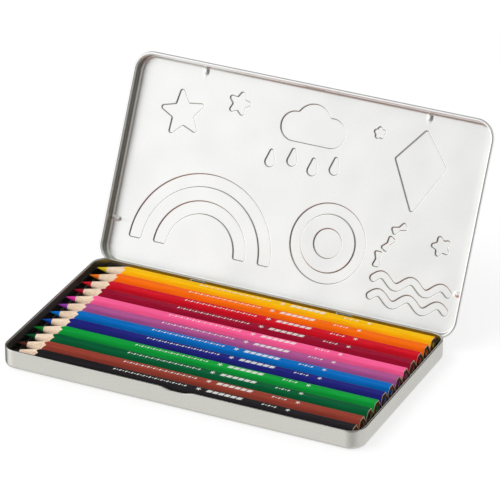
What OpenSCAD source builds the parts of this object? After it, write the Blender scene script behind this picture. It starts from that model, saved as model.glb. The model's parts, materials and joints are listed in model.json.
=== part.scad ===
// Flat hinged pencil tin: a drawn base with a black moulded tray, twelve hexagonal colour pencils,
// and a telescoping lid that swings on a steel wire run through its curled rear rim.
//
// X runs along the pencils (tips at -X), +Y points to the hinge, +Z up. The origin is the middle of
// the base's underside. The lid is drawn open, which is how the tin is set down for use.

/* [Pencils] */
// Length of a pencil from tip to cut end
pencil_len = 175; // [145:1:210]
// Width of a pencil across its flats
pencil_af = 6.9; // [5.7:0.1:8.3]
// How far each of the six edges is rounded in
edge_cut = 0.135; // [0.05:0.005:0.3]
// Diameter of the coloured lead
lead_d = 2.9; // [2:0.1:3.8]
// Length of the sharpened cone
cone_len = 16; // [12:0.5:22]
// Radius of the blunt writing point
point_r = 0.2; // [0.1:0.05:0.4]
// Thickness of the glue line between lead and wood
glue_gap = 0.02; // [0.01:0.01:0.05]
// Gap between neighbouring pencils
pencil_gap = 0.35; // [0.3:0.05:1]
// Offset of the row of pencils towards the hinge
row_y = 0.2; // [-0.5:0.1:0.5]

/* [Tray] */
// Thickness of the moulded sheet
tray_t = 0.4; // [0.3:0.05:0.5]
// Clearance between the tray's edge and the tinplate
tray_gap = 0.2; // [0.1:0.05:0.5]
// Height of the groove floors above the tin's floor
groove_rise = 2.35; // [1.8:0.05:3]
// Height of the ridges between the grooves, above the groove floors
ridge_h = 1.75; // [1:0.05:2]
// Gap under a pencil in its groove
groove_gap = 0.1; // [0.05:0.05:0.3]
// Sideways play of a pencil in its groove
groove_play = 0.25; // [0.1:0.05:0.4]
// Height of the tray's edge above the tin's floor
tray_edge_h = 4.9; // [4.5:0.1:6]
// Length of the well that the sharpened points hang over
tip_well = 15.5; // [12:0.5:20]
// Length of the well behind the cut ends
end_well = 5.5; // [4:0.5:8]

/* [Tin base] */
// Thickness of the tinplate
tin_t = 0.3; // [0.2:0.05:0.4]
// Plan corner radius of the base, outside
corner_r = 7.5; // [6:0.5:12]
// Outside radius where the wall turns into the floor
floor_r = 2; // [1.5:0.1:2.6]
// Radius of the bead rolled into the top of the wall
bead_r = 0.5; // [0.35:0.05:0.6]
// Gap between the row of pencils and the bead, front and rear, when the row is centred
row_gap = 0.89; // [0.8:0.01:2]
// Clearance of the rearmost pencil as it is lifted past the bead in the corner
lift_gap = 0.2; // [0.1:0.05:0.25]
// Room between the end wall's outside and the writing points
tip_gap = 1.98; // [1.8:0.01:4]
// Least room between the cut ends and the other end wall's outside
end_gap = 4.5; // [2:0.05:8]
// Height of the bead above the tops of the pencils
rim_over = 0.25; // [0.2:0.05:3]
// Width of the dip in the front bead where the lid snaps over it
dip_w = 17; // [10:1:30]
// Depth of that dip
dip_h = 1.1; // [0.6:0.1:1.6]

/* [Lid] */
// How far the lid's skirt reaches down over the base
overlap = 4.5; // [3.7:0.1:5.4]
// Clearance between the base wall and the lid's skirt
lid_gap = 0.6; // [0.5:0.05:1]
// Radius of the lid's curled rim
curl_r = 0.8; // [0.7:0.05:1]
// Step from the skirt in to the crown of the lid
step_in = 0.5; // [0.4:0.1:0.8]
// Height of the crown above the step
crown_h = 1.8; // [1.8:0.1:4]
// Outside radius between the crown and the flat top
crown_r = 1.7; // [1.2:0.1:1.8]
// Clearance between the base's bead and the step when shut
seat_gap = 0.3; // [0.2:0.05:0.5]
// Distance of each front stop dent from the middle
front_stop_x = 58; // [30:1:64]
// Distance of the side stop dents behind the middle
side_stop_y = 30; // [10:1:36]
// Radius of the groove that each stop dent shows outside
dent_r = 0.8; // [0.6:0.05:0.85]
// Length of the snap bead in the front of the skirt
snap_w = 11; // [8:0.5:20]
// Clearance between the snap bead and the base wall
snap_gap = 0.25; // [0.15:0.05:0.4]
// Height of the embossed relief on the lid's top
relief_h = 0.4; // [0.2:0.05:0.6]
// Angle between the shut and the open lid
open_angle = 117; // [95:1:125]

/* [Hinge] */
// Radius of the hinge wire
wire_r = 0.45; // [0.35:0.05:0.5]
// Radial play of the wire in its curls
wire_fit = 0.05; // [0.03:0.01:0.1]
// Length of the hinge wire
wire_len = 100; // [84:1:120]
// Distance of each base tongue from the middle
tongue_x = 38; // [20:1:40]
// Width of each tongue rolled round the wire
tongue_w = 8; // [5:0.5:10]
// Running clearance at the sides of a tongue
tongue_gap = 0.3; // [0.2:0.05:0.6]

/* [Hidden] */
$fn = 48;
far = 300;                                   // reach of a cutting block
colours = ["yellow", "orange", "red", "crimson", "pink", "violet",
           "sky_blue", "dark_blue", "light_green", "dark_green", "brown", "black"];
paints = ["#ffbe14", "#ff7314", "#d81e32", "#aa234b", "#ff5f96", "#aa55a0",
          "#0073c8", "#322d96", "#14a53c", "#005f37", "#964132", "#262328"];

count = len(colours);
edge_d = pencil_af * 2 / sqrt(3) - 2 * edge_cut;     // width of a pencil across its rounded edges
flat_half = pencil_af / sqrt(3) / 2;                 // half of one flat of the hexagon
dip_turn = 2 * atan(2 * dip_h / dip_w);              // half the arc of the dip
dip_bend = dip_w / 2 / sin(dip_turn);                // radius of that arc
dip_thin = 0.04;                                     // how much thinner the bead is pressed there
cone_slope = (edge_d / 2 - point_r) / cone_len;      // growth of the sharpened cone's radius
pitch = edge_d + pencil_gap;
corner_in = corner_r - 2 * bead_r;                   // plan corner radius inside the bead
corner_miss = row_gap - abs(row_y) - lift_gap;       // how far the corner may close in on a pencil's end
end_room = max(end_gap, corner_r - sqrt(corner_in * corner_in - pow(corner_in - corner_miss, 2)));
base_w = pencil_len + tip_gap + end_room;            // outside length of the base
base_d = (count - 1) * pitch + edge_d + 2 * row_gap + 4 * bead_r;   // outside depth of the base
groove_z = tin_t + groove_rise;
ridge_z = groove_z + ridge_h;
row_z = groove_z + groove_gap + pencil_af / 2;       // height of the pencils' axes
base_h = row_z + pencil_af / 2 + rim_over;           // height of the base wall
tip_x = -base_w / 2 + tip_gap;
well_z = tin_t + 0.05;                               // underside of the tray's wells
rim_z = base_h - overlap;                            // height of the lid's rim when shut
step_z = overlap + seat_gap;                         // underside of the step, above the lid's rim
lid_h = step_z + crown_h;                            // height of the lid from its rim to its top
crown_out = lid_gap - step_in + tin_t;               // outside of the crown, outwards from the base
axle_out = lid_gap + curl_r;                         // hinge axis, outwards from the base wall
axle_y = base_d / 2 + axle_out;
axle_z = rim_z + curl_r;
curl_bore = wire_r + wire_fit;
motif_scale = min(base_w / 182, base_d / 100);       // keeps the relief inside the lid's top

// ---- shared shapes -------------------------------------------------------------------------

// Carries a profile round the plan outline of the base: its x is the distance outwards from
// the base wall, its y is height.
module around() {
    for (k = [0 : 3]) {
        across = k % 2 == 0 ? base_w : base_d;
        along = k % 2 == 0 ? base_d : base_w;
        rotate([0, 0, 90 * k]) {
            translate([across / 2, along / 2 - corner_r, 0])
                rotate([90, 0, 0]) linear_extrude(along - 2 * corner_r) children();
            translate([across / 2 - corner_r, along / 2 - corner_r, 0])
                rotate_extrude(angle = 90) translate([corner_r, 0]) children();
        }
    }
}

// The base's plan outline grown outwards by out, as a flat shape
module outline(out) {
    r = corner_r + out;
    square([base_w - 2 * corner_r, base_d + 2 * out], center = true);
    square([base_w + 2 * out, base_d - 2 * corner_r], center = true);
    for (x = [-1, 1], y = [-1, 1])
        translate([x * (base_w / 2 - corner_r), y * (base_d / 2 - corner_r)]) circle(r);
}

// Quarter of a tube wall in profile, centred at (x, y): side 1 opens down, side -1 opens up
module bend(x, y, outer, wall, side) {
    translate([x, y]) intersection() {
        difference() {
            circle(outer);
            circle(outer - wall);
        }
        translate([0, side > 0 ? 0 : -outer]) square(outer);
    }
}

// Rod with round ends, centred on the line from point p to point q
module capsule(p, q, r) {
    v = q - p;
    translate(p) rotate([0, acos(v.z / norm(v)), atan2(v.y, v.x)]) rotate_extrude() intersection() {
        union() {
            circle(r);
            square([r, norm(v)]);
            translate([0, norm(v)]) circle(r);
        }
        translate([0, -r]) square([r, norm(v) + 2 * r]);
    }
}

// Moves a shape built outwards along +X to the middle of one wall: 0 right, 1 rear, 2 left, 3 front
module on_wall(side) {
    rotate([0, 0, 90 * side])
        translate([(side % 2 == 0 ? base_w : base_d) / 2, 0, 0]) children();
}

// ---- base ----------------------------------------------------------------------------------

// Stretch of the wall's bead that sags by dip_h, swept round an arc and pressed a little thinner
module dip_bead() {
    translate([-bead_r, 0, base_h - bead_r - dip_h + dip_bend]) rotate([0, 90, 0])
        rotate_extrude(angle = 2 * dip_turn, start = -dip_turn)
            translate([dip_bend, 0]) circle(bead_r - dip_thin);
}

// Round block above the sagging bead, which the front wall is cut back to
module dip_cut() {
    translate([-3 * bead_r, 0, base_h - bead_r - dip_h + dip_bend])
        rotate([0, 90, 0]) cylinder(h = 4 * bead_r, r = dip_bend);
}

// Tongue lanced out of the rear wall and rolled round the hinge wire
module tongue() {
    translate([0, tongue_w / 2, 0]) rotate([90, 0, 0]) linear_extrude(tongue_w) difference() {
        union() {
            translate([axle_out, axle_z]) circle(curl_r);
            translate([-tin_t, axle_z - curl_r]) square([axle_out + tin_t, tin_t]);
        }
        translate([axle_out, axle_z]) circle(curl_bore);
    }
}

// Window that the tongue was lanced from, up to just below the bead
module tongue_window() {
    bottom = axle_z - curl_r + tin_t;
    translate([-2 * tin_t, -tongue_w / 2, bottom])
        cube([3 * tin_t, tongue_w, base_h - 2.2 * bead_r - bottom]);
}

module base_shell() color("#cbcbc5") {
    difference() {
        union() {
            around() {
                translate([-tin_t, floor_r]) square([tin_t, base_h - bead_r - floor_r]);
                bend(-floor_r, floor_r, floor_r, tin_t, -1);
                translate([-bead_r, base_h - bead_r]) circle(bead_r);
            }
            linear_extrude(tin_t) outline(-floor_r);
        }
        on_wall(3) dip_cut();
        for (s = [-1, 1]) on_wall(1) translate([0, s * tongue_x, 0]) tongue_window();
    }
    on_wall(3) dip_bead();
    for (s = [-1, 1]) on_wall(1) translate([0, s * tongue_x, 0]) tongue();
}

// ---- tray ----------------------------------------------------------------------------------

function pencil_y(i) = row_y + (count / 2 - 0.5 - i) * pitch;

// Top line of the grooved deck from the hinge side forwards, lowered by drop
function deck_line(drop) = let (
        slope = ridge_h / sqrt(3),
        foot = flat_half + groove_play,
        side = drop * tan(30))
    concat([[base_d / 2, ridge_z - drop]],
           [for (i = [0 : count - 1], p = [[foot + slope, 1], [foot, 0], [-foot, 0], [-foot - slope, 1]])
               [pencil_y(i) + p.x + sign(p.x) * side, (p.y > 0 ? ridge_z : groove_z) - drop]],
           [[-base_d / 2, ridge_z - drop]]);

function reversed(list) = [for (i = [len(list) - 1 : -1 : 0]) list[i]];

// Extrudes a profile drawn in Y and Z along X, from one x to another
module along_x(from, to) {
    translate([from, 0, 0]) rotate([90, 0, 90]) linear_extrude(to - from) children();
}

module tray() color("#141414") {
    out = -tin_t - tray_gap;                 // outside of the tray, outwards from the base wall
    deck_from = tip_x + tip_well;
    deck_to = base_w / 2 - end_well;
    around() {
        translate([out - tray_t, floor_r]) square([tray_t, tin_t + tray_edge_h - floor_r]);
        bend(out - floor_r + well_z, floor_r, floor_r - well_z, tray_t, -1);
    }
    // wells under the writing points and behind the cut ends
    intersection() {
        translate([0, 0, well_z]) linear_extrude(tray_t) outline(out - floor_r + well_z);
        union() {
            translate([-far, -far, 0]) cube([far + deck_from, 2 * far, far]);
            translate([deck_to, -far, 0]) cube([far, 2 * far, far]);
        }
    }
    // grooved deck, with an upright wall down to the well at each end
    edge = base_d / 2 + out - tray_t;
    intersection() {
        linear_extrude(base_h) outline(out - tray_t / 2);
        union() {
            along_x(deck_from, deck_to) polygon(concat(deck_line(0), reversed(deck_line(tray_t))));
            for (x = [deck_from, deck_to - tray_t])
                along_x(x, x + tray_t) polygon(concat(deck_line(0), [[-edge, floor_r], [-edge + floor_r, well_z],
                                                                     [edge - floor_r, well_z], [edge, floor_r]]));
        }
    }
}

// ---- hinge ---------------------------------------------------------------------------------

module hinge_wire() color("#b9bcbe")
    translate([-wire_len / 2, axle_y, axle_z]) rotate([0, 90, 0]) cylinder(h = wire_len, r = wire_r);

// ---- lid -----------------------------------------------------------------------------------

// Swings a shape drawn shut into the open position
module opened() {
    translate([0, axle_y, axle_z]) rotate([-open_angle, 0, 0]) translate([0, -axle_y, -axle_z]) children();
}

// Rod across the crown's corner that a stop dent is pressed in with
module stop_rod(r) {
    capsule([crown_out, 0, rim_z + step_z + tin_t + dent_r + 0.05],
            [crown_out - 1.5, 0, rim_z + lid_h + 0.3], r);
}

// Rod along the front of the skirt that the snap bead is pressed in with
module snap_rod(r) {
    out = snap_gap + dent_r + tin_t;
    z = rim_z + step_z / 2 + 0.2;
    capsule([out, -snap_w / 2 + 1, z], [out, snap_w / 2 - 1, z], r);
}

// Everything inside the middle of the crown's sheet, along one stop dent
module crown_inside() {
    reach = 3 * crown_r;
    translate([0, reach / 2, rim_z]) rotate([90, 0, 0]) linear_extrude(reach) {
        translate([crown_out - crown_r, lid_h - crown_r]) circle(crown_r - tin_t / 2);
        translate([crown_out - reach, step_z + tin_t / 2])
            square([reach - tin_t / 2, lid_h - crown_r - step_z - tin_t / 2]);
        translate([crown_out - reach, step_z + tin_t / 2])
            square([reach - crown_r, lid_h - step_z - tin_t]);
    }
}

module stop_places() {
    for (s = [-1, 1]) on_wall(3) translate([0, s * front_stop_x, 0]) children();
    on_wall(0) translate([0, side_stop_y, 0]) children();
    on_wall(2) translate([0, -side_stop_y, 0]) children();
}

// Corner points of an outline moved outwards by g, each along its mitre
function side_normal(a, b) = let (d = (b - a) / norm(b - a)) [d.y, -d.x];
function grown(pts, g) = let (n = len(pts)) [for (i = [0 : n - 1]) let (
        before = side_normal(pts[(i + n - 1) % n], pts[i]),
        after = side_normal(pts[i], pts[(i + 1) % n]))
    pts[i] + g * (before + after) / (1 + before * after)];

// Band of a round arch over the line y = 0, from radius inner to radius outer
module arch(outer, inner, g) {
    difference() {
        intersection() {
            circle(outer + g, $fn = 96);
            translate([-outer - g, -g]) square([2 * (outer + g), outer + 2 * g]);
        }
        circle(inner - g, $fn = 96);
    }
}

// Regular star with its first point upwards
module star(points, outer, inner, g) {
    polygon(grown([for (k = [0 : 2 * points - 1]) let (a = 90 + 180 * k / points,
        r = k % 2 == 0 ? outer : inner) r * [cos(a), sin(a)]], g));
}

// Motifs pressed into the lid's top; g grows every outline
module relief_shapes(g) {
    // rainbow of two arches
    translate([-44, -37]) {
        arch(37, 31, g);
        arch(24, 18, g);
    }
    // five-pointed star and a smaller one
    translate([-66, 26]) rotate(12) star(5, 13, 5.6, g);
    translate([-38, 36]) rotate(-10) star(5, 7.5, 3.2, g);
    // cloud
    translate([-8, 31]) {
        circle(7 + g);
        translate([9, 3]) circle(9 + g);
        translate([19, 0]) circle(7 + g);
        translate([0, -7 - g]) square([19, 7 + 2 * g]);
    }
    // kite with three bows on its tail
    translate([58, 22]) {
        polygon(grown([[0, -20], [13, 4], [0, 20], [-13, 4]], g));
        for (k = [1 : 3]) translate([-4 * k, -20 - 8 * k]) rotate(30 * k)
            polygon(grown([[-3.6, -2], [0, -0.7], [3.6, -2], [3.6, 2], [0, 0.7], [-3.6, 2]], g));
    }
    // ripples
    translate([20, -20]) {
        difference() {
            circle(19 + g, $fn = 96);
            circle(14 - g, $fn = 96);
        }
        circle(7 + g);
    }
}

// Relief in the place of the lid's top, seen from inside with the hinge below
module relief(g) {
    rotate([180, 0, 0]) translate([0, 0, -rim_z - lid_h - relief_h])
        linear_extrude(relief_h + tin_t) scale(motif_scale) relief_shapes(g / motif_scale);
}

module lid_shell() color("#cfcfca") opened() difference() {
    union() {
        difference() {
            union() {
                translate([0, 0, rim_z]) {
                    around() {
                        translate([lid_gap + curl_r, curl_r]) circle(curl_r);
                        translate([lid_gap, curl_r]) square([tin_t, step_z + tin_t - curl_r]);
                        translate([lid_gap - step_in, step_z]) square([step_in + tin_t, tin_t]);
                        translate([lid_gap - step_in, step_z])
                            square([tin_t, lid_h - crown_r - step_z]);
                        bend(crown_out - crown_r, lid_h - crown_r, crown_r, tin_t, 1);
                    }
                    translate([0, 0, lid_h - tin_t]) linear_extrude(tin_t) outline(crown_out - crown_r);
                }
                relief(tin_t);
            }
            translate([0, 0, -tin_t]) relief(0);
        }
        // skins that the stop dents and the snap bead push inwards
        stop_places() intersection() {
            stop_rod(dent_r + tin_t);
            crown_inside();
        }
        intersection() {
            on_wall(3) snap_rod(dent_r + tin_t);
            translate([0, 0, rim_z]) linear_extrude(step_z) outline(lid_gap + tin_t / 2);
        }
    }
    stop_places() stop_rod(dent_r);
    on_wall(3) snap_rod(dent_r);
    // bore for the wire and a notch for each tongue of the base
    on_wall(1) translate([axle_out, -wire_len / 2 - 0.5, axle_z])
        rotate([-90, 0, 0]) cylinder(h = wire_len + 1, r = curl_bore);
    for (s = [-1, 1]) on_wall(1)
        translate([0.1, s * tongue_x - tongue_w / 2 - tongue_gap, rim_z - 1])
            cube([2 * axle_out, tongue_w + 2 * tongue_gap, 2 * curl_r + 1 + tongue_gap]);
}

// ---- pencils -------------------------------------------------------------------------------

// Puts a shape built along +Z from the writing point in the place of pencil i
module in_row(i) {
    translate([tip_x, pencil_y(i), row_z]) rotate([0, 90, 0]) children();
}

// Hexagonal wooden casing: edges rounded, one end sharpened, bored for the lead
module casing(i) color(paints[i]) in_row(i) difference() {
    intersection() {
        rotate([0, 0, 30]) cylinder(h = pencil_len, r = pencil_af / sqrt(3), $fn = 6);
        rotate_extrude() polygon([[0, 0], [point_r, 0], [edge_d / 2, cone_len],
                                  [edge_d / 2, pencil_len], [0, pencil_len]]);
    }
    translate([0, 0, -1]) cylinder(h = pencil_len + 2, r = lead_d / 2 + glue_gap);
}

// Coloured lead: a rod whose end carries on the cone of the casing to a blunt point
module lead(i) color(paints[i]) in_row(i)
    rotate_extrude() polygon([[0, 0], [point_r, 0], [lead_d / 2, (lead_d / 2 - point_r) / cone_slope],
                              [lead_d / 2, pencil_len], [0, pencil_len]]);

// ---- assembly ------------------------------------------------------------------------------

base_shell();
tray();
hinge_wire();
lid_shell();
for (i = [0 : count - 1]) {
    casing(i);
    lead(i);
}
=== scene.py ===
import json
import bmesh
import bpy
import numpy as np
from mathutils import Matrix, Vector
from mathutils.geometry import delaunay_2d_cdt


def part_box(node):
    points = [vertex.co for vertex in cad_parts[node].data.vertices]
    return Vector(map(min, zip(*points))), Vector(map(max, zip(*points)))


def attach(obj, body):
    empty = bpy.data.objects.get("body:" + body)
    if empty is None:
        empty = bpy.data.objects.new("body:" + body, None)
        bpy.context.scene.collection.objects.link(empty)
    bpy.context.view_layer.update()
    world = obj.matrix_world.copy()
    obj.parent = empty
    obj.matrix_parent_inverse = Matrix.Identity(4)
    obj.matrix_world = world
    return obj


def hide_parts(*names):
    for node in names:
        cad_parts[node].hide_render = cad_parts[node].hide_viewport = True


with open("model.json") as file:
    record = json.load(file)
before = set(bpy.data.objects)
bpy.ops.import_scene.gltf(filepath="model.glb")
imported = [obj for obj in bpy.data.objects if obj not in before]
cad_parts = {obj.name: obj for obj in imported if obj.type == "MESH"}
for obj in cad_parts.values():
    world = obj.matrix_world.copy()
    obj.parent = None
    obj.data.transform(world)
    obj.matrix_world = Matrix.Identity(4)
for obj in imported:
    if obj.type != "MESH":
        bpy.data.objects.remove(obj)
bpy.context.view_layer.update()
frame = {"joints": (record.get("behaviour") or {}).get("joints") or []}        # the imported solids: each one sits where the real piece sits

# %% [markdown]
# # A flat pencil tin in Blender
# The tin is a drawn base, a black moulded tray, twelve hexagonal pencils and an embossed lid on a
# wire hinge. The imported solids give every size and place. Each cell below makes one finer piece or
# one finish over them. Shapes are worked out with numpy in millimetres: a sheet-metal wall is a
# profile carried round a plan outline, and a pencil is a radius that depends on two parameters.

MM = 0.001
low, high = (np.array(c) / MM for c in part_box("base_shell"))
base_w, base_d, base_h = high[0] - low[0], -2 * low[1], high[2]
lid_hinge = next(j for j in frame["joints"] if j["name"] == "lid_hinge")
axle = np.array(lid_hinge["pos_m"]) / MM
open_turn = np.radians(lid_hinge["range_deg"][1])
corner_r, tin_t, roll_r = 7.5, 0.3, 0.8      # plan corner, sheet, and tin rolled round the hinge line
FAR = 99.0                                   # a distance that no press mark reaches
print("base", np.round([base_w, base_d, base_h], 3), "axle", axle,
      "lid turn", round(np.degrees(open_turn), 2))

# %% [markdown]
# ## Two ways to make a grid
# A grid of points needs only one rule for its faces: each point is joined to the next one along its
# row and to the same one in the next row. The faces are therefore index arithmetic on whole arrays.
# Walls that close on themselves wrap round, so no seam is left open.

# %% Grid faces
def grid_faces(rows, cols, wrap_rows=True, wrap_cols=True):
    """Quads of a grid numbered row by row: (r, c), (r+1, c), (r+1, c+1), (r, c+1)."""
    r, c = np.meshgrid(np.arange(rows if wrap_rows else rows - 1),
                       np.arange(cols if wrap_cols else cols - 1), indexing="ij")
    r2, c2 = (r + 1) % rows, (c + 1) % cols
    return np.stack([r * cols + c, r2 * cols + c, r2 * cols + c2, r * cols + c2], -1).reshape(-1, 4)


def capped(rows, cols):
    """Faces of a wall that closes on itself, with one polygon over its first edge and one over its last."""
    ring = np.arange(rows) * cols
    quads = grid_faces(rows, cols, wrap_cols=False)
    return quads.tolist() + [ring[::-1].tolist(), (ring + cols - 1).tolist()]


print("a closed grid of 3 x 4 points has", len(grid_faces(3, 4)), "quads")

# %% [markdown]
# ## From points to a piece
# A mesh in Blender is a list of points and a list of faces. Below, one helper makes an object of
# them, and one measures whether the result is a single closed shell, because a stray sliver or a gap
# is hard to see in a picture. Numbers stored at the points tell the finishes what happened there.

# %% Meshes, their health and their marks
def make_piece(name, points, faces, sharp=35.0):
    """New object at the origin from points in millimetres. Edges bent by over sharp degrees stay crisp."""
    mesh = bpy.data.meshes.new(name)
    mesh.from_pydata((np.asarray(points, float).reshape(-1, 3) * MM).tolist(), [], faces)
    mesh.validate()
    mesh.shade_smooth()
    mesh.set_sharp_from_angle(angle=np.radians(sharp))
    piece = bpy.data.objects.new(name, mesh)
    bpy.context.scene.collection.objects.link(piece)
    return piece


def health(piece):
    """Prints triangles, open edges, separate shells and enclosed volume.

    A closed mesh with outward faces has a volume above 0. For the shells, each point takes the lowest
    number among its neighbours until nothing changes, which leaves one number for each shell.
    """
    bm = bmesh.new()
    bm.from_mesh(piece.data)
    loose = sum(1 for e in bm.edges if len(e.link_faces) != 2)
    tris = sum(len(f.verts) - 2 for f in bm.faces)
    ends = np.array([[v.index for v in e.verts] for e in bm.edges])
    label, before = np.arange(len(bm.verts)), None
    while before is None or (label != before).any():
        before = label.copy()
        np.minimum.at(label, ends[:, 0], before[ends[:, 1]])
        np.minimum.at(label, ends[:, 1], before[ends[:, 0]])
        label = label[label]
    print(f"{piece.name}: {tris} triangles, {loose} open edges, {len(np.unique(label))} shell(s), "
          f"{bm.calc_volume(signed=True) * 1e9:.1f} mm3")
    bm.free()


def read_points(piece, what="co"):
    """The mesh's own points ("co") or normals ("normal") as an array with three columns."""
    values = np.empty(len(piece.data.vertices) * 3)
    piece.data.vertices.foreach_get(what, values)
    return values.reshape(-1, 3)


def mark_points(piece, name, values, kind="FLOAT"):
    """Stores one number (FLOAT) or three (FLOAT_VECTOR) at each point, for the finish to read."""
    field = "vector" if kind == "FLOAT_VECTOR" else "value"
    stored = piece.data.attributes.new(name, kind, "POINT")
    stored.data.foreach_set(field, np.asarray(values, np.float32).ravel())


def settle(piece, body, slot, *nodes):
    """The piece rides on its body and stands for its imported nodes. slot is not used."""
    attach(piece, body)
    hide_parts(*nodes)
    health(piece)


print("helpers ready, 1 unit is 1 m and MM is", MM)

# %% [markdown]
# ## Sheet metal as a profile carried round a plan
# A drawn tin has the same wall all round: straight sides joined by round corners. A press shop thinks
# of it as one section following the plan, and so does this script. The walk round the base gives a
# point and an outward direction at each station. A profile point then lies its own distance outwards
# from the walk, at its own height. Stations crowd only where something local, such as a dent, needs
# them.

# %% The walk round the base, and profiles
def arc(centre, radius, start, end, steps):
    """Points on a circle: centre + radius * (cos a, sin a), with a from start to end degrees."""
    a = np.radians(np.linspace(start, end, steps + 1))
    return np.column_stack([centre[0] + radius * np.cos(a), centre[1] + radius * np.sin(a)])


def walk_round(marks, corner_steps=20):
    """Stations anticlockwise round the plan. marks: extra places along the right, rear, left and front."""
    points, normals, walls, along = [], [], [], []
    for k, extra in enumerate(marks):
        across, length = (base_w, base_d) if k % 2 == 0 else (base_d, base_w)
        half = length / 2 - corner_r
        s = np.unique(np.round(np.concatenate([[-half, 0.15 - half, half - 0.15, half], extra]), 6))
        a = np.radians(np.linspace(0, 90, corner_steps + 1)[1:-1])
        flat = np.column_stack([np.full(s.size, across / 2), s])
        bend = np.column_stack([across / 2 - corner_r + corner_r * np.cos(a), half + corner_r * np.sin(a)])
        turn = np.round([[np.cos(k * np.pi / 2), np.sin(k * np.pi / 2)],
                         [-np.sin(k * np.pi / 2), np.cos(k * np.pi / 2)]])
        points.append(np.vstack([flat, bend]) @ turn)
        straight = np.tile([1.0, 0.0], (s.size, 1))
        normals.append(np.vstack([straight, np.column_stack([np.cos(a), np.sin(a)])]) @ turn)
        walls.append(np.concatenate([np.full(s.size, k), np.full(a.size, -1)]))
        along.append(np.concatenate([s, np.zeros(a.size)]))
    return {"point": np.vstack(points), "normal": np.vstack(normals),
            "wall": np.concatenate(walls), "along": np.concatenate(along)}


def carried(profile, walk):
    """Grid of points: station point + station normal * outwards distance, at the profile's height."""
    out, z = np.asarray(profile).T
    xy = walk["point"][:, None, :] + walk["normal"][:, None, :] * out[None, :, None]
    return np.dstack([xy, np.broadcast_to(z, xy.shape[:2])])


def hump(distance, reach):
    """Smooth press mark: 1 at no distance, 0 from reach on, as (1 + cos) / 2."""
    return 0.5 + 0.5 * np.cos(np.pi * np.clip(np.abs(distance) / reach, 0, 1))


none = np.array([])
print("a plain walk has", len(walk_round([none] * 4)["point"]), "stations")

# %% [markdown]
# ## The base shell
# The base is pressed from 0.3 mm tinplate. Its wall turns into the floor on a 2 mm radius, and its
# raw edge is rolled inwards into a hollow hem, so that no sharp edge is left to cut a finger. The hem
# sags over 17 mm at the front, where the lid snaps. The profile follows both faces of the sheet and
# ends in a real rolled hem. The sag is a height field on the same grid.

# %% Base profile and its front dip
fillet_r, hem_r = 2.0, 0.5
hem_z = base_h - hem_r
wall_rows = np.array([2.3, 3.4, 4.5, 5.5, 6.5, 7.5, 8.3, 8.8])
outer_wall = np.column_stack([0 * wall_rows, wall_rows])
inner_wall = np.column_stack([0 * wall_rows - tin_t, wall_rows])[::-1]
base_profile = np.vstack([
    [[-2.7, 0], [-2.3, 0]], arc((-fillet_r, fillet_r), fillet_r, -90, 0, 9), outer_wall,
    arc((-hem_r, hem_z), hem_r, 0, 290, 22), arc((-hem_r, hem_z), hem_r - tin_t, 290, 0, 14),
    inner_wall, arc((-fillet_r, fillet_r), fillet_r - tin_t, 0, -90, 9), [[-2.3, tin_t], [-2.7, tin_t]]])
dip_half, dip_flat, dip_depth = 9.2, 2.2, 1.1
still_z, full_z = 4.5, hem_z - 0.6           # below the first nothing sags, above the second all of it
base_walk = walk_round([none, none, none, np.linspace(-dip_half, dip_half, 57)])
points = carried(base_profile, base_walk)
across_dip = np.where(base_walk["wall"] == 3, np.abs(base_walk["along"]), FAR)
sag = dip_depth * hump(np.maximum(across_dip - dip_flat, 0), dip_half - dip_flat)
lift = np.clip((points[..., 2] - still_z) / (full_z - still_z), 0, 1)
points[..., 2] -= sag[:, None] * lift * lift * (3 - 2 * lift)
base_tin = make_piece("base_drawn_tin", points, capped(*points.shape[:2]))
health(base_tin)

# %% [markdown]
# ## Joining and punching
# Some shapes are easiest to make apart and then join or subtract, as a punch does. A Boolean modifier
# works that out, and its result then replaces the mesh, so that no live modifier is left. The punch is
# a block with eased edges, because a sharp corner would tear the tin.

# %% Drawn-out shapes, Booleans and punches
def drawn_out(profile, x_from, x_to, edge=0.08):
    """Closed profile in (y, z), drawn out along x. Both ends are drawn in by edge, to ease their rims."""
    profile = np.asarray(profile)
    ahead, back = np.roll(profile, -1, 0) - profile, profile - np.roll(profile, 1, 0)
    side = ahead / np.linalg.norm(ahead, axis=1)[:, None] + back / np.linalg.norm(back, axis=1)[:, None]
    inward = np.column_stack([-side[:, 1], side[:, 0]]) / np.linalg.norm(side, axis=1)[:, None]
    x = np.array([x_from, x_from + edge, x_to - edge, x_to])
    yz = profile[None] + np.array([edge, 0, 0, edge])[:, None, None] * inward[None]
    grid = np.dstack([np.broadcast_to(x[:, None], yz.shape[:2]), yz])
    n = len(profile)
    faces = grid_faces(4, n, wrap_rows=False).tolist()
    return grid, [f[::-1] for f in faces] + [list(range(n - 1, -1, -1)), list(range(3 * n, 4 * n))]


def carve(piece, cutter, operation):
    """Applies one exact Boolean with cutter, fills any sliver that it dropped, and removes the cutter."""
    modifier = piece.modifiers.new("carve", "BOOLEAN")
    modifier.operation, modifier.solver, modifier.object = operation, "EXACT", cutter
    bpy.context.view_layer.update()
    done = bpy.data.meshes.new_from_object(piece.evaluated_get(bpy.context.evaluated_depsgraph_get()))
    bm = bmesh.new()
    bm.from_mesh(done)
    bmesh.ops.holes_fill(bm, edges=[e for e in bm.edges if e.is_boundary], sides=4)
    bm.to_mesh(done)
    bm.free()
    piece.modifiers.clear()
    old, piece.data = piece.data, done
    bpy.data.meshes.remove(old)
    bpy.data.objects.remove(cutter)
    piece.data.shade_smooth()
    piece.data.set_sharp_from_angle(angle=np.radians(35))


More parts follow.
